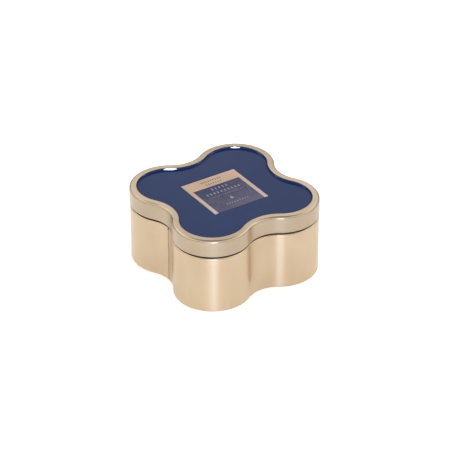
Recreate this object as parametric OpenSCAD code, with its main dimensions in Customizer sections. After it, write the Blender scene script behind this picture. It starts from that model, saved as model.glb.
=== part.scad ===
// Four-lobed scented-candle tin: a seamed tinplate body, a drawn slip lid with a recessed panel,
// and the candle inside it. The origin is the centre of the face that it stands on, +Z is up,
// and the lobes lie on the diagonals, with a valley on each of the X and Y axes.

/* [Outline] */
// Distance of each lobe's centre from the X and from the Y axis
lobe_centre = 30; // [26:0.5:34]
// Radius of a lobe, measured to the outside of the lid's skirt
lobe_r = 30; // [26:0.5:34]
// Radius of the valley between two lobes
valley_r = 24.5; // [20:0.5:30]

/* [Heights] */
// Height of the closed tin
tin_h = 62; // [58:0.5:66]
// Height of the lid's lower edge above the surface the tin stands on
skirt_z = 48; // [40:0.5:52]
// Height of the wax surface
wax_z = 36; // [20:1:40]

/* [Sheet metal] */
// Thickness of the tinplate
sheet = 0.4; // [0.3:0.05:0.5]
// How far the body's wall stands inside the lid's skirt line
body_inset = 0.35; // [0.1:0.05:0.5]
// How far the neck stands inside the lid's skirt line
neck_inset = 1.9; // [1.9:0.05:2.3]
// Bend radius at the foot of the body
foot_r = 1.2; // [1:0.1:1.8]
// Bend radius of the shoulder that the lid comes down to
shoulder_r = 1.2; // [0.8:0.1:1.4]
// Space between the shoulder and the lid's lower edge
lid_gap = 1.5; // [0.3:0.1:1.8]
// Radius of the safety curl round the body's mouth
curl_r = 0.8; // [0.6:0.05:0.8]

/* [Lid] */
// Width of the raised rim round the panel
rim_w = 5.6; // [5:0.1:7]
// Bend radius at the outer edge of the rim
rim_r = 2; // [1:0.1:2.6]
// Depth of the recessed panel below the rim
panel_depth = 1.9; // [1.3:0.1:2.2]
// Radius of the curled hem at the lid's lower edge
hem_r = 0.8; // [0.6:0.05:0.8]

/* [Side seam] */
// Width of the folded lock seam in the body's wall
seam_w = 4.6; // [3:0.1:6]
// Where the seam's crease lies along Y, measured from the bottom of its valley
seam_y = -1; // [-2:0.1:2]

/* [Candle] */
// Distance of each wick from the X and from the Y axis
wick_pitch = 28; // [24:1:32]
// Diameter of the cotton wick
wick_d = 2.4; // [1.6:0.1:4]
// Length of wick standing above the wax
wick_up = 7; // [4:1:10]
// Diameter of the metal tab that holds a wick upright
tab_d = 20; // [12:1:22]

/* [Stickers] */
// Side of the square sticker on the panel
lid_label_w = 47.4; // [30:0.2:52]
// How far the square sticker sits off the panel's centre, along X and along Y
lid_label_off = 1; // [0:0.1:1.5]
// Diameter of the round sticker under the base
base_label_d = 50; // [30:1:60]

/* [Hidden] */
$fn = 96;

gold = "#d6bd97";
navy = "#37415f";
steel = "#b9bcc0";

// A valley's centre lies on an axis, where its circle touches the two lobes beside it.
valley_centre = lobe_centre + sqrt(pow(lobe_r + valley_r, 2) - pow(lobe_centre, 2));
beyond = 2 * valley_centre;

// How far a cut or a clipping wedge runs past the faces it goes through
over = 1;

// Bends of the sheet at the foot and at the top of the wall round the recessed panel
panel_bend_r = 0.4;
panel_edge_r = 0.5;

// Space between the body's curl and the underside of the lid's rim
curl_gap = 0.4;

// Heights and insets worked out from the ones above
shoulder_z = skirt_z - lid_gap;
neck_bend_r = neck_inset - body_inset - shoulder_r;
mouth_z = tin_h - sheet - curl_gap;
panel_z = tin_h - panel_depth;
hem_width = 4;
plate_gap = 0.05;
flange_inset = body_inset + sheet + plate_gap;
flange_h = 5;
base_rise = 1.2;
base_low = 2 * sheet + plate_gap;
base_z = sheet + plate_gap + base_rise;
base_top = base_z + sheet;
base_run = 3;
step_inset = body_inset + foot_r + base_run;
seam_depth = 0.8;
fold_clear = 1;
crease_clear = 0.5;
crease_w = 0.3;
crease_depth = 0.2;
notch_w = 0.9;
notch_h = 1.6;
notch_depth = 0.25;
notch_lap = 0.1;
label_t = 0.12;
sticker_t = 0.8;
tab_t = 0.3;
tab_tube_h = 6;
tab_tube_wall = 0.4;
tab_z = base_top + sticker_t;

// ---- Quatrefoil helpers ----------------------------------------------------------------

// The four quarter turns of its children
module each_quarter() {
    for (i = [0:3])
        rotate([0, 0, 90 * i])
            children();
}

// The wedge of space that belongs to the lobe in the first quadrant, from the lobe's centre outwards
module lobe_zone() {
    c = lobe_centre;
    v = valley_centre;
    translate([0, 0, -over])
        linear_extrude(tin_h + 2 * over)
            polygon([[c, c], [v, 0], [beyond, beyond], [0, v]]);
}

// The triangle that belongs to the valley on +X, between two lobes' centres and its own
module valley_zone() {
    c = lobe_centre;
    translate([0, 0, -over])
        linear_extrude(tin_h + 2 * over)
            polygon([[valley_centre, 0], [c, c], [c, -c]]);
}

// Sweeps a 2D section round the outline. Its x is the distance outside the skirt line, its y the height.
module sweep_outline() {
    each_quarter() {
        intersection() {
            lobe_zone();
            translate([lobe_centre, lobe_centre, 0])
                rotate_extrude()
                    translate([lobe_r, 0])
                        children();
        }
        intersection() {
            valley_zone();
            translate([valley_centre, 0, 0])
                rotate_extrude()
                    translate([valley_r, 0])
                        mirror([1, 0])
                            children();
        }
    }
}

// The flat quatrefoil that lies inset inside the skirt line
module outline_area(inset) {
    c = lobe_centre;
    v = valley_centre;
    difference() {
        polygon([[c, c], [0, v], [-c, c], [-v, 0], [-c, -c], [0, -v], [c, -c], [v, 0]]);
        for (i = [0:3])
            rotate(90 * i)
                translate([v, 0])
                    circle(r = valley_r + inset);
    }
    for (i = [0:3])
        rotate(90 * i)
            intersection() {
                translate([c, c])
                    circle(r = lobe_r - inset);
                polygon([[c, c], [v, 0], [beyond, beyond], [0, v]]);
            }
}

// A plate of that outline
module outline_plate(inset, z, thickness) {
    translate([0, 0, z])
        linear_extrude(thickness)
            outline_area(inset);
}

// ---- Sheet sections --------------------------------------------------------------------

// A quarter ring of sheet round (x, y): outer radius r, in the quadrant given by the signs sx and sy
module bend(x, y, r, sx, sy) {
    translate([x, y])
        intersection() {
            difference() {
                circle(r = r);
                circle(r = r - sheet);
            }
            translate([sx < 0 ? -r : 0, sy < 0 ? -r : 0])
                square(r);
        }
}

// A straight run of sheet from (x0, y0) to (x1, y1), its lower left and upper right corners
module run(x0, y0, x1, y1) {
    translate([x0, y0])
        square([x1 - x0, y1 - y0]);
}

// ---- Tin -------------------------------------------------------------------------------

// Foot hem, wall, shoulder, neck and the curl round the mouth, as one strip of sheet
module wall_section() {
    foot_x = -body_inset - foot_r;
    shoulder_x = -body_inset - shoulder_r;
    shoulder_y = shoulder_z - shoulder_r;
    neck_y = shoulder_z + neck_bend_r;
    curl_x = -neck_inset - curl_r;
    curl_y = mouth_z - curl_r;
    run(-hem_width - body_inset, 0, foot_x, sheet);
    bend(foot_x, foot_r, foot_r, 1, -1);
    run(-body_inset - sheet, foot_r, -body_inset, shoulder_y);
    bend(shoulder_x, shoulder_y, shoulder_r, 1, 1);
    bend(shoulder_x, neck_y, neck_bend_r + sheet, -1, -1);
    run(-neck_inset - sheet, neck_y, -neck_inset, curl_y);
    bend(curl_x, curl_y, curl_r, 1, 1);
    bend(curl_x, curl_y, curl_r, -1, 1);
    bend(curl_x, curl_y, curl_r, -1, -1);
}

// An arc of the wall in the valley on -X: from radius r0 to r1 about the valley's centre, between two
// places along Y, from height z0 up by h
module valley_arc(r0, r1, y0, y1, z0, h) {
    intersection() {
        translate([-valley_centre, 0, z0])
            difference() {
                cylinder(r = r1, h = h);
                translate([0, 0, -over])
                    cylinder(r = r0, h = h + 2 * over);
            }
        translate([-valley_centre, y0, z0])
            cube([2 * valley_r, y1 - y0, h]);
    }
}

module body_wall() {
    wall_r = valley_r + body_inset;
    fold_from = seam_y - seam_w;
    fold_z = flange_h + fold_clear;
    fold_top = shoulder_z - shoulder_r - crease_clear;
    crease_z = foot_r + crease_clear;
    notch_z = shoulder_z - notch_h;
    color(gold) {
        difference() {
            sweep_outline()
                wall_section();
            valley_arc(wall_r - over, wall_r + crease_depth, seam_y - crease_w, seam_y,
                crease_z, notch_z + notch_lap - crease_z);
            valley_arc(wall_r - over, wall_r + notch_depth, seam_y - notch_w, seam_y,
                notch_z, notch_h + over);
        }
        valley_arc(wall_r + sheet, wall_r + sheet + seam_depth, fold_from, seam_y,
            fold_z, fold_top - fold_z);
    }
}

// Upright flange, a corner that sits in the body's foot, and a step up to the raised panel
module base_section() {
    corner_x = -body_inset - foot_r;
    corner_r = foot_r - sheet - plate_gap;
    floor_z = sheet + plate_gap;
    step_r = base_rise / 2;
    run(-flange_inset - sheet, foot_r, -flange_inset, flange_h);
    bend(corner_x, foot_r, corner_r, 1, -1);
    run(-step_inset, floor_z, corner_x, floor_z + sheet);
    bend(-step_inset, floor_z + step_r + sheet / 2, step_r + sheet / 2, -1, -1);
    bend(-step_inset - 2 * step_r, floor_z + step_r + sheet / 2, step_r + sheet / 2, 1, 1);
}

module base_plate() {
    color(steel) {
        sweep_outline()
            base_section();
        outline_plate(step_inset + base_rise, base_z, sheet);
    }
}

// Skirt with its curled hem, rim, recess wall and the bend into the panel, as one strip of sheet
module lid_section() {
    rim_x = -rim_w + panel_edge_r;
    edge_y = tin_h - panel_edge_r;
    floor_x = -rim_w - panel_bend_r;
    floor_y = panel_z + panel_bend_r;
    hem_y = skirt_z + hem_r;
    bend(-hem_r, hem_y, hem_r, -1, 1);
    bend(-hem_r, hem_y, hem_r, -1, -1);
    bend(-hem_r, hem_y, hem_r, 1, -1);
    run(-sheet, hem_y, 0, tin_h - rim_r);
    bend(-rim_r, tin_h - rim_r, rim_r, 1, 1);
    run(rim_x, tin_h - sheet, -rim_r, tin_h);
    bend(rim_x, edge_y, panel_edge_r, -1, 1);
    run(-rim_w, floor_y, -rim_w + sheet, edge_y);
    bend(floor_x, floor_y, panel_bend_r + sheet, 1, -1);
}

module lid() {
    color(gold) {
        sweep_outline()
            lid_section();
        outline_plate(rim_w + panel_bend_r, panel_z - sheet, sheet);
    }
}

// ---- Stickers --------------------------------------------------------------------------

module lid_label() {
    color("#c9a294")
        translate([lid_label_off - lid_label_w / 2, lid_label_off - lid_label_w / 2, panel_z])
            cube([lid_label_w, lid_label_w, label_t]);
}

module base_label() {
    color("white")
        translate([0, 0, base_z - label_t])
            cylinder(d = base_label_d, h = label_t);
}

// ---- Candle ----------------------------------------------------------------------------

// Moves its children to the i-th wick, counted anticlockwise from the first quadrant
module at_wick(i) {
    rotate([0, 0, 90 * (i - 1)])
        translate([wick_pitch, wick_pitch, 0])
            children();
}

// A round self-adhesive pad that sticks a wick's tab to the base
module wick_sticker(i) {
    color("white")
        at_wick(i)
            translate([0, 0, base_top])
                cylinder(d = tab_d, h = sticker_t);
}

// A tinplate disc with a short upright tube, crimped on the foot of a wick
module wick_tab(i) {
    color(steel)
        at_wick(i)
            translate([0, 0, tab_z])
                difference() {
                    union() {
                        cylinder(d = tab_d, h = tab_t);
                        cylinder(d = wick_d + 2 * tab_tube_wall, h = tab_tube_h);
                    }
                    translate([0, 0, -over])
                        cylinder(d = wick_d, h = tab_tube_h + 2 * over);
                }
}

module wick(i) {
    color("ivory")
        at_wick(i)
            translate([0, 0, tab_z])
                cylinder(d = wick_d, h = wax_z + wick_up - tab_z);
}

// The poured wax takes the shape of the body, round the flange, the seam's fold and the wick's foot.
module wax_fill() {
    wall_r = valley_r + body_inset;
    color("#e9e2d2")
        difference() {
            union() {
                difference() {
                    outline_plate(body_inset + foot_r, base_low, base_top - base_low);
                    outline_plate(step_inset, 0, base_top);
                }
                outline_plate(flange_inset + sheet, base_top, flange_h - base_top);
                outline_plate(body_inset + sheet, flange_h, wax_z - flange_h);
            }
            valley_arc(wall_r - over, wall_r + sheet + seam_depth, seam_y - seam_w, seam_y,
                flange_h, wax_z);
            for (i = [1:4]) {
                at_wick(i) {
                    translate([0, 0, base_top - over])
                        cylinder(d = tab_d, h = sticker_t + tab_t + over);
                    translate([0, 0, base_top])
                        cylinder(d = wick_d + 2 * tab_tube_wall, h = sticker_t + tab_tube_h);
                    translate([0, 0, base_top])
                        cylinder(d = wick_d, h = wax_z);
                }
            }
        }
}

body_wall();
base_plate();
lid();
lid_label();
base_label();
wax_fill();
wick(1);  // wick_1
wick(2);  // wick_2
wick(3);  // wick_3
wick(4);  // wick_4
wick_tab(1);  // wick_tab_1
wick_tab(2);  // wick_tab_2
wick_tab(3);  // wick_tab_3
wick_tab(4);  // wick_tab_4
wick_sticker(1);  // wick_sticker_1
wick_sticker(2);  // wick_sticker_2
wick_sticker(3);  // wick_sticker_3
wick_sticker(4);  // wick_sticker_4
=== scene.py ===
"""Looks of a four-lobed scented-candle tin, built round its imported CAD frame. Metres, +Z up.

The lobes lie on the diagonals, a valley on each of the X and Y axes, the side seam in the valley on -X.
Sheet-metal pieces are strips of sheet, drawn as a section and swept round the tin's outline.
"""

import math
import random

import bpy
from mathutils import Matrix, Vector, noise
from mathutils.geometry import delaunay_2d_cdt


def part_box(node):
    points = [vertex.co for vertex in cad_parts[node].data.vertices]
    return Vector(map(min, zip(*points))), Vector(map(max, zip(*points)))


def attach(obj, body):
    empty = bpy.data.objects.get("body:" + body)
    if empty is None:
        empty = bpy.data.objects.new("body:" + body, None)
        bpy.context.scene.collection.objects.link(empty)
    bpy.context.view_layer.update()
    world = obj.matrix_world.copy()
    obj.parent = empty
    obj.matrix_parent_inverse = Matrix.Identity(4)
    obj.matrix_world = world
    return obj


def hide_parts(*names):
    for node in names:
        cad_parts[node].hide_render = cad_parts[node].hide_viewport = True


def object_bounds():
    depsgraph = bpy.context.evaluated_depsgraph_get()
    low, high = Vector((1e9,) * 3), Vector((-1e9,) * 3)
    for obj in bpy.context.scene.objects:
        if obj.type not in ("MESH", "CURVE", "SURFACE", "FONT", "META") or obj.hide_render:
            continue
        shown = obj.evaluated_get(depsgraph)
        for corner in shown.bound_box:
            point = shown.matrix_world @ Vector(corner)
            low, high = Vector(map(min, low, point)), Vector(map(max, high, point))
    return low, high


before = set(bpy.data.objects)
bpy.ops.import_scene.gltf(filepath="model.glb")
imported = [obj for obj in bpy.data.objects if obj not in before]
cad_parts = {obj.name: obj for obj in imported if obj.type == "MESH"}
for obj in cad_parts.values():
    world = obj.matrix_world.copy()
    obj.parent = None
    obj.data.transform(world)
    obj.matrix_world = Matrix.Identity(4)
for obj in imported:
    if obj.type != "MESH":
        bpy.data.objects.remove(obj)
cad_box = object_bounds()

MM = 0.001

# ---- Driving dimensions -------------------------------------------------------------------------

cad_low, cad_high = cad_box
TIN_H = cad_high.z
LOBE_CENTRE = (cad_high.x - cad_low.x) / 4      # along both X and Y
LOBE_R = LOBE_CENTRE
VALLEY_R = 24.5 * MM
VALLEY_CENTRE = LOBE_CENTRE + math.sqrt((LOBE_R + VALLEY_R) ** 2 - LOBE_CENTRE**2)

SHEET = 0.4 * MM
SKIRT_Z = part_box("lid")[0].z
MOUTH_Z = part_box("body_wall")[1].z
WAX_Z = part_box("wax_fill")[1].z
BODY_INSET = cad_high.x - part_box("body_wall")[1].x
NECK_INSET = 1.9 * MM
FOOT_R = 1.2 * MM
HEM_W = 4 * MM
SHOULDER_R = 1.2 * MM
SHOULDER_Z = SKIRT_Z - 1.5 * MM
CURL_R = 0.8 * MM
RIM_W = 5.6 * MM
RIM_R = 2 * MM
PANEL_EDGE_R = 0.5 * MM
PANEL_BEND_R = 0.4 * MM
RECESS_SLOPE = 70                       # degrees that the wall round the recessed panel leans from flat
PANEL_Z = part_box("lid_label")[0].z
HEM_R = 0.8 * MM
GAP_SHADE_H = 0.8 * MM                    # height of the painted shade at the foot of the neck: a dark line where the lid's skirt shades the gap
SEAM_Y = -1 * MM                        # where the side seam's crease lies
SEAM_W = 4.6 * MM                       # width of the fold beside it, towards -Y
FOLD_RISE = 0.06 * MM
FOLD_DEPTH = 0.8 * MM                   # how far the folded layers stand in from the wall, inside
CREASE_W = 0.9 * MM
CREASE_DEPTH = 0.32 * MM
SEAM_FOOT = 2 * MM                      # the crease and the fold fade out over this height at the foot
NOTCH_W = 1.5 * MM
NOTCH_H = 1.8 * MM
NOTCH_DEPTH = 0.45 * MM
NOTCH_Y = SEAM_Y - 0.15 * MM            # middle of the small notch at the top of the crease

# ---- Outline ------------------------------------------------------------------------------------


def arc_angles(start, end, count):
    """Evenly spaced angles from start up to, and without, end."""
    return [start + (end - start) * i / count for i in range(count)]


def outline(lobe_steps=84, valley_steps=60, seam_ys=()):
    """Stations round the skirt line, anticlockwise: (x, y, outward normal x, outward normal y)."""
    lobe_from = math.atan2(-LOBE_CENTRE, VALLEY_CENTRE - LOBE_CENTRE)
    lobe_to = math.pi / 2 - lobe_from
    valley_half = -lobe_from
    stations = []
    for quarter in range(4):
        turn = quarter * math.pi / 2
        lobe = Vector((LOBE_CENTRE, LOBE_CENTRE))
        valley = Vector((0, VALLEY_CENTRE))
        for a in arc_angles(lobe_from, lobe_to, lobe_steps):
            n = Vector((math.cos(a), math.sin(a)))
            stations.append((turn, lobe + n * LOBE_R, n))
        bends = arc_angles(valley_half, -valley_half, valley_steps)
        if quarter == 1:
            bends = sorted(bends + [math.asin(y / VALLEY_R) for y in seam_ys], reverse=True)
        for a in bends:
            n = Vector((-math.sin(a), math.cos(a)))
            stations.append((turn, valley - n * VALLEY_R, n))
    out = []
    for turn, p, n in stations:
        spin = Matrix.Rotation(turn, 2)
        p, n = spin @ p, spin @ n
        out.append((p.x, p.y, n.x, n.y))
    return out


# ---- Strips of sheet ----------------------------------------------------------------------------


class Strip:
    """The section of a strip of sheet, drawn along its outer face, with the sheet on its left."""

    def __init__(self, x, y, heading):
        self.outer, self.inner = [], []
        self.x, self.y, self.heading = x, y, math.radians(heading)
        self.mark()

    def mark(self):
        """Records the point that both faces have reached."""
        left = self.heading + math.pi / 2
        self.outer.append((self.x, self.y))
        self.inner.append((self.x + SHEET * math.cos(left), self.y + SHEET * math.sin(left)))

    def line(self, length, steps=1):
        for _ in range(steps):
            self.x += length / steps * math.cos(self.heading)
            self.y += length / steps * math.sin(self.heading)
            self.mark()

    def bend(self, radius, degrees, steps=8):
        """Turns left by that many degrees, or right if negative, the outer face at that radius."""
        side = 1 if degrees > 0 else -1
        step = math.radians(degrees) / steps
        for _ in range(steps):
            left = self.heading + side * math.pi / 2
            cx, cy = self.x + radius * math.cos(left), self.y + radius * math.sin(left)
            self.heading += step
            right = self.heading - side * math.pi / 2
            self.x, self.y = cx + radius * math.cos(right), cy + radius * math.sin(right)
            self.mark()


def add_object(name, verts, faces, materials, face_slots, sharp=32):
    mesh = bpy.data.meshes.new(name)
    mesh.from_pydata(verts, [], faces)
    for m in materials:
        mesh.materials.append(m)
    mesh.polygons.foreach_set("material_index", face_slots)
    mesh.polygons.foreach_set("use_smooth", [True] * len(faces))
    mesh.set_sharp_from_angle(angle=math.radians(sharp))
    mesh.validate()
    obj = bpy.data.objects.new(name, mesh)
    bpy.context.scene.collection.objects.link(obj)
    return obj


def sweep(name, stations, strip, materials, slot_of, press=None, filled=False):
    """Sweeps a strip's section round the stations.

    slot_of(side, i) gives the material of the i-th span of the "outer" or "inner" face. press(x, y, z)
    gives how far a point is pushed along the outline's normal. The end of a filled strip is closed by a
    flat plate across the whole outline.
    """
    loop = strip.outer + strip.inner[::-1]
    spans = len(strip.outer) - 1
    verts, faces, slots = [], [], []
    for x, y, nx, ny in stations:
        for off, z in loop:
            if press:
                off = off + press(x + nx * off, y + ny * off, z)
            verts.append((x + nx * off, y + ny * off, z))
    n, m = len(stations), len(loop)
    for i in range(n):
        a, b = i * m, ((i + 1) % n) * m
        for j in range(m):
            k = (j + 1) % m
            if j < spans:
                slot = slot_of("outer", j)
            elif j == spans:
                if filled:
                    continue
                slot = slot_of("inner", spans - 1)
            elif j == m - 1:
                slot = slot_of("inner", 0)
            else:
                slot = slot_of("inner", m - 2 - j)
            faces.append((a + j, b + j, b + k, a + k))
            slots.append(slot)
    if filled:
        faces.append([i * m + spans for i in range(n)])
        slots.append(slot_of("outer", spans - 1))
        faces.append([i * m + spans + 1 for i in reversed(range(n))])
        slots.append(slot_of("inner", spans - 1))
    return add_object(name, verts, faces, materials, slots)


# ---- Materials ----------------------------------------------------------------------------------


class Material:
    """A Principled material with helpers for procedural detail in the row frame's own metres."""

    def __init__(self, name, color, **sockets):
        self.mat = bpy.data.materials.new(name)
        self.mat.use_nodes = True
        self.tree = self.mat.node_tree
        self.bsdf = self.tree.nodes["Principled BSDF"]
        self.bsdf.inputs["Base Color"].default_value = (*color, 1)
        for key, value in sockets.items():
            self.bsdf.inputs[key.replace("_", " ").title().replace("Ior", "IOR")].default_value = value
        self.coord = self.tree.nodes.new("ShaderNodeTexCoord").outputs["Object"]

    def link(self, a, b):
        self.tree.links.new(a, b)

    def noise(self, scale, detail=2.0, stretch=None, distortion=0.0):
        """Noise of that many features a metre; stretch scales each axis on its own."""
        node = self.tree.nodes.new("ShaderNodeTexNoise")
        node.inputs["Scale"].default_value = scale
        node.inputs["Detail"].default_value = detail
        node.inputs["Distortion"].default_value = distortion
        source = self.coord
        if stretch:
            mapping = self.tree.nodes.new("ShaderNodeMapping")
            mapping.inputs["Scale"].default_value = stretch
            self.link(self.coord, mapping.inputs["Vector"])
            source = mapping.outputs["Vector"]
        self.link(source, node.inputs["Vector"])
        return node.outputs["Fac"]

    def span(self, value, low, high, from_low=0.3, from_high=0.7):
        """Maps a noise value to a range."""
        node = self.tree.nodes.new("ShaderNodeMapRange")
        self.link(value, node.inputs["Value"])
        node.inputs["From Min"].default_value = from_low
        node.inputs["From Max"].default_value = from_high
        node.inputs["To Min"].default_value = low
        node.inputs["To Max"].default_value = high
        return node.outputs["Result"]

    def math(self, operation, a, b):
        node = self.tree.nodes.new("ShaderNodeMath")
        node.operation = operation
        for socket, value in zip(node.inputs, (a, b)):
            if isinstance(value, (int, float)):
                socket.default_value = value
            else:
                self.link(value, socket)
        return node.outputs["Value"]

    def mix(self, fac, color_a, color_b):
        node = self.tree.nodes.new("ShaderNodeMix")
        node.data_type = "RGBA"
        self.link(fac, node.inputs["Factor"])
        for socket, value in ((node.inputs[6], color_a), (node.inputs[7], color_b)):
            if isinstance(value, tuple):
                socket.default_value = (*value, 1)
            else:
                self.link(value, socket)
        return node.outputs[2]

    def axis(self, name):
        """One of the object's own coordinates, in metres."""
        node = self.tree.nodes.new("ShaderNodeSeparateXYZ")
        self.link(self.coord, node.inputs["Vector"])
        return node.outputs[name]

    def brushed(self, amount):
        """Spreads highlights up and down the walls, as sheet rolled round the outline does."""
        node = self.tree.nodes.new("ShaderNodeTangent")
        node.direction_type = "RADIAL"
        node.axis = "Z"
        self.link(node.outputs["Tangent"], self.bsdf.inputs["Tangent"])
        self.bsdf.inputs["Anisotropic"].default_value = amount
        self.bsdf.inputs["Anisotropic Rotation"].default_value = 0.25

    def color(self, value):
        self.link(value, self.bsdf.inputs["Base Color"])

    def rough(self, value):
        self.link(value, self.bsdf.inputs["Roughness"])

    def bump(self, value, distance, strength=1.0):
        node = self.tree.nodes.new("ShaderNodeBump")
        node.inputs["Strength"].default_value = strength
        node.inputs["Distance"].default_value = distance
        self.link(value, node.inputs["Height"])
        self.link(node.outputs["Normal"], self.bsdf.inputs["Normal"])


def gold_lacquer(name, color, deep, spread=0.85, satin_low=0.34):
    """Satin champagne-gold lacquer on tinplate: fine grain, faint upright lines, a few dull patches."""
    m = Material(name, color, metallic=1.0, roughness=0.4, coat_weight=0.2, coat_roughness=0.3)
    patches = m.noise(38, 3)
    draw_lines = m.noise(1, 2, stretch=(1400, 1400, 26))
    grain = m.noise(5200, 1)
    m.color(m.mix(m.span(patches, 0.0, 1.0), color, deep))
    satin = m.span(patches, satin_low, satin_low + 0.05)
    m.rough(m.math("ADD", satin, m.span(draw_lines, -0.02, 0.03)))
    m.bump(m.math("ADD", grain, m.math("MULTIPLY", draw_lines, 0.6)), 0.004 * MM)
    m.brushed(spread)
    return m.mat


def navy_lacquer(name, roughness, ior):
    """Glossy navy lacquer: the faintest orange peel and a few soft smudges."""
    m = Material(name, (0.004, 0.012, 0.066), roughness=roughness, ior=ior)
    smudges = m.noise(30, 4, distortion=0.6)
    m.color(m.mix(m.span(smudges, 0, 1), (0.004, 0.019, 0.083), (0.007, 0.023, 0.093)))
    m.rough(m.span(smudges, roughness * 0.8, roughness * 1.25))
    m.bump(m.noise(900, 2), 0.0015 * MM)
    return m.mat


def seam_crease_shade():
    """Painted shade: the dark, dull line in the side seam's crease, where its fold ends, and in its
    notch.
    """
    m = Material("seam_crease_shade", (0.22, 0.15, 0.09), metallic=0.7, roughness=0.5)
    stain = m.noise(300, 3)
    m.color(m.mix(m.span(stain, 0, 1), (0.16, 0.10, 0.06), (0.34, 0.24, 0.15)))
    m.rough(m.span(stain, 0.42, 0.6))
    m.bump(stain, 0.02 * MM)
    return m.mat


def bare_tinplate():
    """Bright tinplate under clear lacquer, as inside the tin: crystals of tin and rolling lines."""
    m = Material("bare_tinplate", (0.62, 0.60, 0.56), metallic=1.0, roughness=0.3)
    crystals = m.noise(160, 3, distortion=1.2)
    rolling = m.noise(1, 2, stretch=(60, 2200, 60))
    m.color(m.mix(m.span(crystals, 0, 1), (0.63, 0.61, 0.57), (0.68, 0.66, 0.62)))
    m.rough(m.math("ADD", m.span(crystals, 0.30, 0.36), m.span(rolling, -0.02, 0.02)))
    m.bump(rolling, 0.004 * MM)
    return m.mat


def foil(name, color, deep, cool):
    """Printed rose-gold foil paper, a little cooler towards the bottom of the label."""
    m = Material(name, color, metallic=0.55, roughness=0.38)
    tone = m.noise(55, 3)
    warm = m.mix(m.span(tone, 0, 1), color, deep)
    m.color(m.mix(m.span(m.axis("Y"), 1, 0, -24 * MM, 16 * MM), warm, cool))
    m.rough(m.math("ADD", m.span(m.noise(2600, 2), -0.04, 0.06), m.span(tone, 0.34, 0.42)))
    m.bump(m.noise(1700, 3), 0.006 * MM)
    return m.mat


def dusk_print():
    """The label's field: ink that runs from navy at its top to a soft mauve at its lower right."""
    m = Material("dusk_print", (0.05, 0.045, 0.10), roughness=0.3, ior=1.33)
    run = m.math("SUBTRACT", m.math("MULTIPLY", m.axis("X"), 0.4), m.axis("Y"))
    cloud = m.span(m.noise(70, 3, distortion=0.8), -0.3, 0.3)
    fade = m.math("ADD", m.span(run, 0, 1, -12 * MM, 26 * MM), cloud)
    m.color(m.mix(fade, (0.009, 0.015, 0.068), (0.078, 0.066, 0.120)))
    m.rough(m.span(m.noise(2400, 2), 0.24, 0.36))
    m.bump(m.noise(2100, 3), 0.005 * MM)
    return m.mat


def dark_ink():
    """Dark brown ink printed on the foil."""
    m = Material("dark_ink", (0.10, 0.065, 0.055), roughness=0.45)
    wear = m.noise(1500, 2)
    m.color(m.mix(m.span(wear, 0, 1), (0.09, 0.055, 0.045), (0.16, 0.11, 0.095)))
    m.rough(m.span(wear, 0.4, 0.55))
    m.bump(wear, 0.003 * MM)
    return m.mat


def paper(name, color):
    """Uncoated white paper: fibres and a slight mottle."""
    m = Material(name, color, roughness=0.7)
    mottle = m.noise(240, 4)
    fibres = m.noise(2600, 3, stretch=(1, 0.35, 1))
    m.color(m.mix(m.span(mottle, 0, 1), color, tuple(0.93 * c for c in color)))
    m.rough(m.span(fibres, 0.62, 0.78))
    m.bump(fibres, 0.012 * MM)
    return m.mat


def candle_wax():
    """Creamy poured wax: soft light through it, frosting in patches, tiny pits."""
    m = Material("candle_wax", (0.78, 0.70, 0.56), roughness=0.42, ior=1.44, subsurface_weight=0.6)
    m.bsdf.inputs["Subsurface Radius"].default_value = (4 * MM, 2.6 * MM, 1.4 * MM)
    m.bsdf.inputs["Subsurface Scale"].default_value = 1
    frost = m.noise(90, 5, distortion=0.9)
    pits = m.noise(1300, 2)
    m.color(m.mix(m.span(frost, 0, 1), (0.74, 0.655, 0.51), (0.84, 0.775, 0.65)))
    m.rough(m.span(frost, 0.34, 0.52))
    m.bump(m.math("ADD", frost, m.math("MULTIPLY", pits, 0.25)), 0.06 * MM)
    return m.mat


def waxed_cotton():
    """Braided cotton that has soaked up wax: fine fibres along each strand."""
    m = Material("waxed_cotton", (0.80, 0.73, 0.60), roughness=0.6, subsurface_weight=0.2)
    m.bsdf.inputs["Subsurface Radius"].default_value = (1 * MM, 0.8 * MM, 0.5 * MM)
    m.bsdf.inputs["Subsurface Scale"].default_value = 1
    fibres = m.noise(5200, 3, stretch=(1, 1, 0.3))
    m.color(m.mix(m.span(fibres, 0, 1), (0.66, 0.58, 0.45), (0.86, 0.80, 0.69)))
    m.rough(m.span(fibres, 0.5, 0.72))
    m.bump(fibres, 0.05 * MM)
    return m.mat


def pad_foam():
    """White foam tape: small open cells."""
    m = Material("pad_foam", (0.82, 0.82, 0.80), roughness=0.85)
    cells = m.noise(2400, 2)
    m.color(m.mix(m.span(cells, 0, 1), (0.72, 0.72, 0.70), (0.86, 0.86, 0.84)))
    m.rough(m.span(cells, 0.8, 0.92))
    m.bump(cells, 0.08 * MM)
    return m.mat


GOLD_BODY = gold_lacquer("gold_body", (0.645, 0.50, 0.332), (0.615, 0.47, 0.308))
# Painted shade: a darker gold on the seam's fold, whose face turns away from the light
GOLD_FOLD_SHADE = gold_lacquer("gold_fold_shade_paint", (0.58, 0.43, 0.28), (0.50, 0.37, 0.235))
# Painted shade: a near-black gold for the neck's foot and the hem's underside, where the lid's skirt
# shades the gap
GOLD_SHADE_PAINT = gold_lacquer("gold_painted_gap_shade", (0.12, 0.088, 0.057), (0.08, 0.058, 0.038))
GOLD_LID = gold_lacquer("gold_lid", (0.48, 0.378, 0.266), (0.455, 0.355, 0.247), 0.65, 0.3)
NAVY = navy_lacquer("navy_lacquer", 0.12, 1.205)
NAVY_EDGE = navy_lacquer("navy_edge", 0.08, 2.8)
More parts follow.
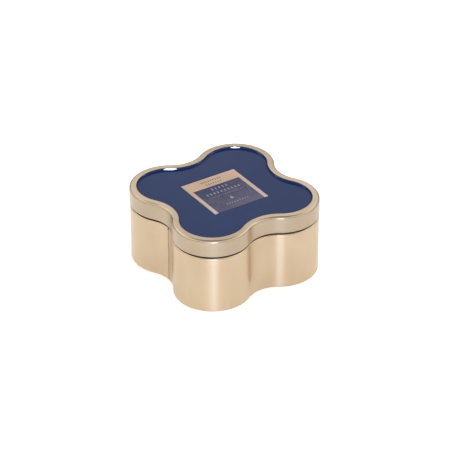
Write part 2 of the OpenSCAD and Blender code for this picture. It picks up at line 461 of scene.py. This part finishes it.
# Painted shade for the seam's crease and notch
SEAM_SHADE = seam_crease_shade()
TINPLATE = bare_tinplate()
FOIL = foil("rose_gold_foil", (0.525, 0.368, 0.262), (0.485, 0.338, 0.235), (0.48, 0.39, 0.365))
DUSK = dusk_print()
PALE_FOIL = foil("pale_foil", (0.29, 0.245, 0.285), (0.22, 0.195, 0.25), (0.25, 0.225, 0.28))
INK = dark_ink()
LABEL_EDGE = paper("label_edge", (0.50, 0.43, 0.37))
PAPER = paper("white_paper", (0.86, 0.85, 0.82))
WAX = candle_wax()
COTTON = waxed_cotton()
FOAM = pad_foam()

# ---- Tin ----------------------------------------------------------------------------------------

STATIONS = outline()


def lid_section():
    """Hem, skirt, rim fold, recess wall and the start of the panel, from the hem's free end."""
    s = Strip(-HEM_R, SKIRT_Z + 2 * HEM_R, 180)
    s.bend(HEM_R, 200, 18)
    s.gold_from = len(s.outer) - 1
    s.bend(HEM_R, 70, 7)
    s.line(TIN_H - RIM_R - SKIRT_Z - HEM_R, 6)
    s.bend(RIM_R, 90, 14)
    s.line(RIM_W - RIM_R - PANEL_EDGE_R, 3)
    edge_steps = 10
    s.bend(PANEL_EDGE_R, RECESS_SLOPE, edge_steps)
    s.navy_from = len(s.outer) - 1 - edge_steps // 2
    slope = math.radians(RECESS_SLOPE)
    rounded = (PANEL_EDGE_R + PANEL_BEND_R) * (1 - math.cos(slope))
    s.line((TIN_H - PANEL_Z - rounded) / math.sin(slope), 3)
    s.panel_from = len(s.outer) - 1
    s.bend(PANEL_BEND_R, -RECESS_SLOPE, 8)
    s.line(0.1 * MM)
    return s


def make_lid():
    section = lid_section()

    gold, navy_wall, navy_panel, bare, shaded_hem = range(5)
    materials = [GOLD_LID, NAVY_EDGE, NAVY, TINPLATE, GOLD_SHADE_PAINT]

    def slot_of(side, i):
        if side == "inner":
            return bare
        # the hem's curl under the skirt is painted in shade
        if i < section.gold_from:
            return shaded_hem
        if i < section.navy_from:
            return gold
        return navy_wall if i < section.panel_from else navy_panel

    lid = sweep("lid_shell", STATIONS, section, materials, slot_of, filled=True)
    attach(lid, "lid")
    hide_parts("lid")


make_lid()


def body_section():
    """Foot hem, wall, shoulder, neck and the curl round the mouth, from the hem's inner edge."""
    s = Strip(-BODY_INSET - HEM_W, 0, 0)
    s.line(HEM_W - FOOT_R, 3)
    s.bend(FOOT_R, 90, 10)
    s.line(SEAM_FOOT, 4)
    s.line(SHOULDER_Z - SHOULDER_R - FOOT_R - SEAM_FOOT - NOTCH_H, 8)
    s.line(NOTCH_H, 6)
    s.bend(SHOULDER_R, 90, 10)
    s.gap_from = len(s.outer) - 3       # the painted shade starts two spans before the shoulder's end
    neck_bend_r = NECK_INSET - BODY_INSET - SHOULDER_R
    s.bend(neck_bend_r, -90, 6)
    s.line(GAP_SHADE_H)
    s.gap_to = len(s.outer) - 1
    s.line(MOUTH_Z - CURL_R - SHOULDER_Z - neck_bend_r - GAP_SHADE_H, 6)
    s.bend(CURL_R, 270, 24)
    return s


def smooth(x, low, high):
    t = min(max((x - low) / (high - low), 0), 1)
    return t * t * (3 - 2 * t)


def seam_press(x, y, z):
    """The lock seam in the valley on -X: a fold a little proud, and a crease with a notch at its top."""
    if x > -LOBE_CENTRE or abs(y) > LOBE_CENTRE / 2 or z > MOUTH_Z - CURL_R:
        return 0
    fold = smooth(y, SEAM_Y - SEAM_W - 0.6 * MM, SEAM_Y - SEAM_W + 0.4 * MM)
    fold *= 1 - smooth(y, SEAM_Y, SEAM_Y + 0.05 * MM)
    crease = max(0, 1 - abs(y - SEAM_Y + CREASE_W / 2) / (CREASE_W / 2))
    push = FOLD_RISE * fold * smooth(z, 0.5 * MM, 3 * MM)
    push -= CREASE_DEPTH * crease * smooth(z, 0.3 * MM, 1.5 * MM)
    notch = 1 - smooth(abs(y - NOTCH_Y), NOTCH_W / 2 - 0.2 * MM, NOTCH_W / 2)
    notch *= smooth(z, SHOULDER_Z - NOTCH_H, SHOULDER_Z - NOTCH_H + 0.4 * MM)
    notch *= 1 - smooth(z, SHOULDER_Z - 0.15 * MM, SHOULDER_Z)
    return push - NOTCH_DEPTH * notch


def make_body():
    section = body_section()
    crease = [SEAM_Y - CREASE_W * f for f in (-0.3, 0.02, 0.25, 0.5, 0.75, 0.98, 1.3)]
    fold = [SEAM_Y - SEAM_W + d * MM for d in (-0.6, -0.35, -0.1, 0.15, 0.4)]
    notch = [NOTCH_Y + side * (NOTCH_W / 2 + d * MM) for side in (-1, 1) for d in (-0.2, -0.1, 0.01)]
    body_stations = outline(seam_ys=crease + fold + notch)
    gold, bare, crease_shade, shaded_neck, shaded_fold = range(5)
    materials = [GOLD_BODY, TINPLATE, SEAM_SHADE, GOLD_SHADE_PAINT, GOLD_FOLD_SHADE]

    def slot_of(side, i):
        if side == "inner":
            return bare
        # a band round the shoulder's end and the neck's foot is painted in shade
        return shaded_neck if section.gap_from <= i < section.gap_to else gold

    body = sweep("body_shell", body_stations, section, materials, slot_of, press=seam_press)
    # The seam's crease and notch get a dark line of painted shade.
    for face in body.data.polygons:
        c = face.center
        on_wall = c.x < -LOBE_CENTRE and face.material_index == gold and FOOT_R < c.z < SHOULDER_Z
        on_notch = on_wall and abs(c.y - NOTCH_Y) < NOTCH_W / 2 and c.z > SHOULDER_Z - NOTCH_H
        if on_notch or (on_wall and SEAM_Y - CREASE_W < c.y < SEAM_Y):
            face.material_index = crease_shade
        # the fold is painted a darker, shaded gold
        elif on_wall and SEAM_Y - SEAM_W < c.y < SEAM_Y:
            face.material_index = shaded_fold
    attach(body, "tin")
    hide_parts("body_wall")


make_body()


def make_seam_fold():
    """The lock seam's layers of sheet, folded over inside the tin in the valley on -X."""
    bottom = 6 * MM
    top = SHOULDER_Z - SHOULDER_R - 0.5 * MM
    wall_r = VALLEY_R + BODY_INSET + SHEET
    edge_r = 0.25 * MM
    section = [(SEAM_W, 0)]
    for start, centre in ((0, SEAM_W - edge_r), (1, edge_r)):
        for k in range(5):
            a = math.pi / 2 * (start + k / 4)
            section.append((centre + edge_r * math.cos(a), FOLD_DEPTH - edge_r + edge_r * math.sin(a)))
    section.append((0, 0))
    levels = [bottom + (top - bottom) * k / 12 for k in range(13)]
    verts, faces = [], []
    for z in levels:
        for along, deep in section:
            y = SEAM_Y - SEAM_W + along
            r = wall_r + deep
            verts.append((-VALLEY_CENTRE + math.sqrt(r * r - y * y), y, z))
    m = len(section)
    for k in range(len(levels) - 1):
        for j in range(m):
            a, b = k * m + j, k * m + (j + 1) % m
            faces.append((a, b, b + m, a + m))
    faces.append(tuple(reversed(range(m))))
    faces.append(tuple(range((len(levels) - 1) * m, len(levels) * m)))
    fold = add_object("seam_fold", verts, faces, [TINPLATE], [0] * len(faces))
    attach(fold, "tin")


make_seam_fold()


def base_section():
    """Upright flange, a corner in the body's foot and a step up to the panel, along the top face."""
    flange_top = 5 * MM
    fit_gap = 0.05 * MM
    floor_top = 0.85 * MM
    step_r = 0.4 * MM
    s = Strip(-BODY_INSET - SHEET - fit_gap - SHEET, flange_top, -90)
    s.line(flange_top - FOOT_R, 4)
    s.bend(FOOT_R - floor_top, -90, 6)
    s.line(3 * MM, 2)
    s.bend(step_r, -90, 8)
    s.bend(step_r + SHEET, 90, 8)
    s.line(0.1 * MM)
    return s


def make_base():
    base = sweep("base_pan", STATIONS, base_section(), [TINPLATE], lambda side, i: 0, filled=True)
    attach(base, "tin")
    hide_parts("base_plate")


make_base()

# ---- Stickers -----------------------------------------------------------------------------------


class Prisms:
    """Collects flat closed plates, each an outline between two heights, into one mesh."""

    def __init__(self):
        self.verts, self.faces, self.slots = [], [], []

    def add(self, outline_points, z0, z1, top, side=None, bottom=None):
        side = top if side is None else side
        bottom = side if bottom is None else bottom
        n, first = len(outline_points), len(self.verts)
        self.verts += [(x, y, z0) for x, y in outline_points] + [(x, y, z1) for x, y in outline_points]
        low, up = list(range(first, first + n)), list(range(first + n, first + 2 * n))
        self.faces += [up, low[::-1]]
        self.slots += [top, bottom]
        for i in range(n):
            j = (i + 1) % n
            self.faces.append([low[i], low[j], up[j], up[i]])
            self.slots.append(side)

    def build(self, name, materials):
        return add_object(name, self.verts, self.faces, materials, self.slots)


def rect(x0, y0, x1, y1):
    return [(x0, y0), (x1, y0), (x1, y1), (x0, y1)]


def lozenge(x, y, half_w, half_h):
    return [(x - half_w, y), (x, y - half_h), (x + half_w, y), (x, y + half_h)]


def flame(x, y, height, steps=9):
    """A plain teardrop, as a generic candle flame."""
    side = []
    for i in range(steps + 1):
        t = i / steps
        side.append((0.30 * height * math.sin(math.pi * t**0.62) * (1 - 0.35 * t), height * t))
    right = [(x + w, y + h) for w, h in side]
    left = [(x - w, y + h) for w, h in side[-2:0:-1]]
    return right + left


BAND = 0.255            # height of the label's foil band, as a share of the label
BAR = 0.067             # width of each foil bar down its sides, likewise


def make_lid_label():
    """A square foil sticker: a band on top, a bar down each side, a dusky field with plain ornament."""
    (x0, y0, z0), (x1, y1, z1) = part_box("lid_label")
    w = x1 - x0
    field_top = y1 - BAND * w
    left, right = x0 + BAR * w, x1 - BAR * w
    foil_slot, dusk_slot, ink_slot, edge_slot, pale_slot = range(5)
    p = Prisms()
    p.add(rect(x0, field_top, x1, y1), z0, z1, foil_slot, edge_slot)
    p.add(rect(x0, y0, left, field_top), z0, z1, foil_slot, edge_slot)
    p.add(rect(right, y0, x1, field_top), z0, z1, foil_slot, edge_slot)
    p.add(rect(left, y0, right, field_top), z0, z1, dusk_slot)

    def raised(shape, slot):
        p.add(shape, z1 - 0.02 * MM, z1 + 0.02 * MM, slot)

    def row(share, count, pitch, half_w, half_h, slot, offset=0.0):
        for i in range(count):
            x = (x0 + x1) / 2 + offset * w + (i - (count - 1) / 2) * pitch
            raised(lozenge(x, y0 + share * w, half_w, half_h), slot)

    row(0.905, 9, 2.05 * MM, 0.62 * MM, 1.45 * MM, ink_slot)
    row(0.815, 7, 2.05 * MM, 0.62 * MM, 1.45 * MM, ink_slot)
    row(0.655, 5, 3.1 * MM, 0.75 * MM, 1.9 * MM, pale_slot)
    row(0.535, 10, 3.1 * MM, 0.75 * MM, 1.9 * MM, pale_slot)
    row(0.435, 16, 1.9 * MM, 0.5 * MM, 0.5 * MM, pale_slot)
    raised(flame((x0 + x1) / 2, y0 + 0.25 * w, 0.10 * w), pale_slot)
    row(0.155, 9, 2.3 * MM, 0.6 * MM, 1.2 * MM, pale_slot, offset=0.02)
    label = p.build("lid_sticker", [FOIL, DUSK, INK, LABEL_EDGE, PALE_FOIL])
    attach(label, "lid")
    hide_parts("lid_label")


def make_base_label():
    """A plain round paper sticker under the base, with a printed ring near its edge."""
    (x0, _, z0), (x1, _, z1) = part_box("base_label")
    print_from = 0.86
    radii = [0, 0.5, print_from, 0.90, 0.97, 1]
    around = 96
    lifted_edge = 0.02 * MM
    cockle = 0.01 * MM
    middle = (z0 + z1) / 2
    verts = [(0, 0, z0), (0, 0, z1)]
    faces, slots = [], []
    for share in radii[1:]:
        r = share * (x1 - x0) / 2
        for z in (z0 + (lifted_edge if share == 1 else 0), z1):
            for i in range(around):
                a = 2 * math.pi * i / around
                wave = cockle * math.sin(5 * a + 90 * share) if share < 1 and z < middle else 0
                verts.append((r * math.cos(a), r * math.sin(a), z + abs(wave)))

    def at(ring, layer, i):
        return 2 + (2 * ring + layer) * around + i % around

    for i in range(around):
        faces += [(0, at(0, 0, i + 1), at(0, 0, i)), (1, at(0, 1, i), at(0, 1, i + 1))]
        slots += [0, 0]
        for ring in range(len(radii) - 2):
            slot = 1 if radii[ring + 1] == print_from else 0
            j, outer = i + 1, ring + 1
            faces.append((at(ring, 0, i), at(ring, 0, j), at(outer, 0, j), at(outer, 0, i)))
            faces.append((at(ring, 1, i), at(outer, 1, i), at(outer, 1, j), at(ring, 1, j)))
            slots += [slot, 0]
        last = len(radii) - 2
        faces.append((at(last, 0, i), at(last, 0, i + 1), at(last, 1, i + 1), at(last, 1, i)))
        slots.append(0)
    label = add_object("base_sticker", verts, faces, [PAPER, INK], slots)
    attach(label, "tin")
    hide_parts("base_label")


make_lid_label()
make_base_label()

# ---- Candle -------------------------------------------------------------------------------------

WICKS = [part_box(f"wick_{i}") for i in range(1, 5)]
WICK_AT = [((a.x + b.x) / 2, (a.y + b.y) / 2) for a, b in WICKS]
WICK_R = (WICKS[0][1].x - WICKS[0][0].x) / 2


def wax_height(x, y, inset):
    """Cooled wax: it climbs the wall and each wick, and has sunk a little round the wicks."""
    r = min(math.hypot(x - wx, y - wy) for wx, wy in WICK_AT)
    z = WAX_Z - 0.1 * MM
    z += 0.9 * MM * math.exp(-inset / (1.1 * MM))
    z += 0.8 * MM * math.exp(-((max(r - WICK_R, 0) / (1.3 * MM)) ** 1.3))
    z -= 0.55 * MM * math.exp(-((r / (9 * MM)) ** 2))
    z += 0.10 * MM * noise.noise(Vector((x, y, 0)) * 70)
    return z


def ring_at(inset, points):
    return [(x - nx * inset, y - ny * inset) for x, y, nx, ny in points]


def make_wax():
    """The wax: rings of points close to the wall and round each wick, and a loose grid between them."""
    around = outline(42, 30)
    wall = BODY_INSET + SHEET
    insets = [0, 0.4 * MM, 0.9 * MM, 1.6 * MM, 2.6 * MM, 4 * MM]
    wick_rings = [1.25 * MM, 1.7 * MM, 2.3 * MM, 3.2 * MM, 4.6 * MM]
    wick_clear = 5.4 * MM
    points, depth = [], []
    for inset in insets:
        points += ring_at(wall + inset, around)
        depth += [inset] * len(around)
    n = len(around)
    for wx, wy in WICK_AT:
        for r in wick_rings:
            for i in range(20):
                a = 2 * math.pi * i / 20
                points.append((wx + r * math.cos(a), wy + r * math.sin(a)))
                depth.append(1)
    random.seed(4)
    pitch = 1.9 * MM
    inner = ring_at(wall + insets[-1] + 0.8 * MM, around)
    steps = int(cad_high.x / pitch)
    for i in range(-steps, steps + 1):
        for j in range(-steps, steps + 1):
            x = (i + random.uniform(-0.25, 0.25)) * pitch
            y = (j + random.uniform(-0.25, 0.25)) * pitch
            clear = min(math.hypot(x - wx, y - wy) for wx, wy in WICK_AT) > wick_clear
            if clear and inside(x, y, inner):
                points.append((x, y))
                depth.append(1)
    rings = [list(range(k * n, (k + 1) * n)) for k in range(len(insets))]
    edges = [(ring[i], ring[(i + 1) % n]) for ring in rings for i in range(n)]
    inside_only, same_point = 1, 1e-7
    flat, _, tris, origin, *_ = delaunay_2d_cdt(
        [Vector(p) for p in points], edges, [rings[0]], inside_only, same_point
    )
    verts = []
    for p, sources in zip(flat, origin):
        inset = depth[sources[0]] if sources else 1
        verts.append((p.x, p.y, wax_height(p.x, p.y, inset)))
    rim = [next(k for k, src in enumerate(origin) if i in src) for i in rings[0]]
    faces = [tuple(t) for t in tris]
    flange_over_wax = 2.9 * MM          # how far the base's flange reaches up past the wax's underside
    bottom_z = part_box("base_plate")[1].z - flange_over_wax
    lower = []
    for k in rim:
        x, y, _ = verts[k]
        lower.append(len(verts))
        verts.append((x, y, bottom_z))
    for i in range(n):
        j = (i + 1) % n
        faces.append((rim[i], lower[i], lower[j], rim[j]))
    faces.append(tuple(reversed(lower)))
    wax = add_object("poured_wax", verts, faces, [WAX], [0] * len(faces), sharp=60)
    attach(wax, "tin")
    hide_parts("wax_fill")


def inside(x, y, ring):
    """Whether a point lies within a closed outline."""
    hit = False
    for (ax, ay), (bx, by) in zip(ring, ring[1:] + ring[:1]):
        if (ay > y) != (by > y) and x < ax + (y - ay) * (bx - ax) / (by - ay):
            hit = not hit
    return hit


def make_wick(i):
    """Three strands of cotton plaited together, trimmed flat at the top."""
    low_corner, top_corner = WICKS[i]
    cx, cy = WICK_AT[i]
    strand_r = 0.5 * WICK_R
    swing = WICK_R - strand_r
    pitch = 5.2 * MM
    sides, rise = 10, 0.33 * MM
    steps = int((top_corner.z - low_corner.z) / rise)
    verts, faces = [], []
    for strand in range(3):
        first = len(verts)
        for k in range(steps + 1):
            z = low_corner.z + (top_corner.z - low_corner.z) * k / steps
            phase = 2 * math.pi * (z / pitch + strand / 3) + 0.7 * i
            sx = cx + swing * math.sin(phase)
            sy = cy + swing * 0.8 * math.sin(2 * phase)
            r = strand_r * (1 + 0.05 * math.sin(9 * phase + strand))
            for m in range(sides):
                a = 2 * math.pi * m / sides
                verts.append((sx + r * math.cos(a), sy + 0.95 * r * math.sin(a), z))
        for k in range(steps):
            for m in range(sides):
                a, b = first + k * sides + m, first + k * sides + (m + 1) % sides
                faces.append((a, b, b + sides, a + sides))
        faces.append(tuple(range(first, first + sides))[::-1])
        faces.append(tuple(range(first + steps * sides, first + (steps + 1) * sides)))
    wick = add_object(f"braided_wick_{i + 1}", verts, faces, [COTTON], [0] * len(faces), sharp=70)
    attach(wick, "tin")
    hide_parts(f"wick_{i + 1}")


def dress(node, material):
    """Gives a CAD node a better material."""
    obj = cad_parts[node]
    if not obj.material_slots:
        obj.data.materials.append(material)
    for material_slot in obj.material_slots:
        material_slot.material = material


make_wax()
for index in range(4):
    make_wick(index)
    dress(f"wick_tab_{index + 1}", TINPLATE)
    dress(f"wick_sticker_{index + 1}", FOAM)

# ---- Stage --------------------------------------------------------------------------------------

CAMERA_AZIMUTH = math.radians(-33.22)
CAMERA_ELEVATION = math.radians(32.03)
CAMERA_ROLL = math.radians(-0.17)
CAMERA_DISTANCE = 1.73
LENS = 182.8
AIM_RIGHT = 0.62 * MM
AIM_UP = 0.24 * MM

# How bright the studio is at each height above the horizon, in degrees
SKY = [(0, 0.05), (14, 0.07), (25, 1.3), (46, 1.3), (58, 0.3), (76, 0.15)]
SKY_SIDES = 1.65        # times this to the left and right of the camera's line of sight
SKY_ENDS = 0.86         # and times this along it


def make_world():
    """A plain studio: a bright band half way up, dim overhead and at the horizon."""
    world = bpy.data.worlds.new("studio")
    bpy.context.scene.world = world
    world.use_nodes = True
    nodes, links = world.node_tree.nodes, world.node_tree.links
    background = nodes["Background"]
    coord = nodes.new("ShaderNodeTexCoord")
    split = nodes.new("ShaderNodeSeparateXYZ")
    ramp = nodes.new("ShaderNodeValToRGB")
    along = nodes.new("ShaderNodeVectorMath")
    along.operation = "DOT_PRODUCT"
    along.inputs[1].default_value = (math.sin(CAMERA_AZIMUTH), -math.cos(CAMERA_AZIMUTH), 0)
    squared = nodes.new("ShaderNodeMath")
    squared.operation = "POWER"
    squared.inputs[1].default_value = 2
    sides = nodes.new("ShaderNodeMapRange")
    sides.inputs["To Min"].default_value = SKY_SIDES
    sides.inputs["To Max"].default_value = SKY_ENDS
    stops = ramp.color_ramp.elements
    for _ in range(len(SKY) - 2):
        stops.new(0.5)
    for stop, (degrees, level) in zip(stops, SKY):
        stop.position = math.sin(math.radians(degrees))
        stop.color = (level, level, level, 1)
    links.new(coord.outputs["Generated"], split.inputs["Vector"])
    links.new(split.outputs["Z"], ramp.inputs["Fac"])
    links.new(ramp.outputs["Color"], background.inputs["Color"])
    links.new(coord.outputs["Generated"], along.inputs[0])
    links.new(along.outputs["Value"], squared.inputs[0])
    links.new(squared.outputs["Value"], sides.inputs["Value"])
    links.new(sides.outputs["Result"], background.inputs["Strength"])


def make_floor(size=6):
    mesh = bpy.data.meshes.new("floor")
    corners = [(-size, -size, 0), (size, -size, 0), (size, size, 0), (-size, size, 0)]
    mesh.from_pydata(corners, [], [(0, 1, 2, 3)])
    sweep_paper = Material("floor_paper", (0.92, 0.92, 0.92), roughness=0.9)
    sweep_paper.rough(sweep_paper.span(sweep_paper.noise(40, 2), 0.85, 0.95))
    sweep_paper.bsdf.inputs["Emission Color"].default_value = (1, 1, 1, 1)
    sweep_paper.bsdf.inputs["Emission Strength"].default_value = 0.32
    mesh.materials.append(sweep_paper.mat)
    obj = bpy.data.objects.new("floor", mesh)
    bpy.context.scene.collection.objects.link(obj)


def facing(azimuth, elevation):
    """Unit vectors to the right, up and back for something that faces the tin from there.

    Both angles are in radians. Azimuth 0 is on -Y and a quarter turn on +X.
    """
    a, e = azimuth, elevation
    back = Vector((math.sin(a) * math.cos(e), -math.cos(a) * math.cos(e), math.sin(e)))
    right = Vector((math.cos(a), math.sin(a), 0))
    return right, back.cross(right), back


def place(obj, at, right, up, back):
    obj.matrix_world = Matrix.Translation(at) @ Matrix((right, up, back)).transposed().to_4x4()
    bpy.context.scene.collection.objects.link(obj)


def softbox(name, azimuth, elevation, distance, width, height, energy, color):
    """A rectangular softbox aimed at the tin's middle, from angles in degrees."""
    light = bpy.data.lights.new(name, "AREA")
    light.shape = "RECTANGLE"
    light.size = width
    light.size_y = height
    light.energy = energy
    light.color = color
    right, up, back = facing(math.radians(azimuth), math.radians(elevation))
    at = Vector((0, 0, TIN_H / 2)) + back * distance
    place(bpy.data.objects.new(name, light), at, right, up, back)


make_world()
make_floor()
softbox("strip", -33, 9.7, 1.2, 0.66, 0.13, 1.7, (0.92, 1.0, 1.15))
softbox("key", -30, 8, 1.2, 0.24, 0.25, 1.7, (0.70, 0.95, 1.6))

# ---- Camera -------------------------------------------------------------------------------------


def make_camera():
    right, up, back = facing(CAMERA_AZIMUTH, CAMERA_ELEVATION)
    c, s = math.cos(CAMERA_ROLL), math.sin(CAMERA_ROLL)
    right, up = right * c + up * s, up * c - right * s
    target = Vector((0, 0, TIN_H / 2)) + right * AIM_RIGHT + up * AIM_UP
    data = bpy.data.cameras.new("camera")
    data.lens = LENS
    data.clip_start = 0.05
    camera = bpy.data.objects.new("camera", data)
    place(camera, target + back * CAMERA_DISTANCE, right, up, back)
    bpy.context.scene.camera = camera


make_camera()
bpy.context.scene.view_settings.view_transform = "Standard"
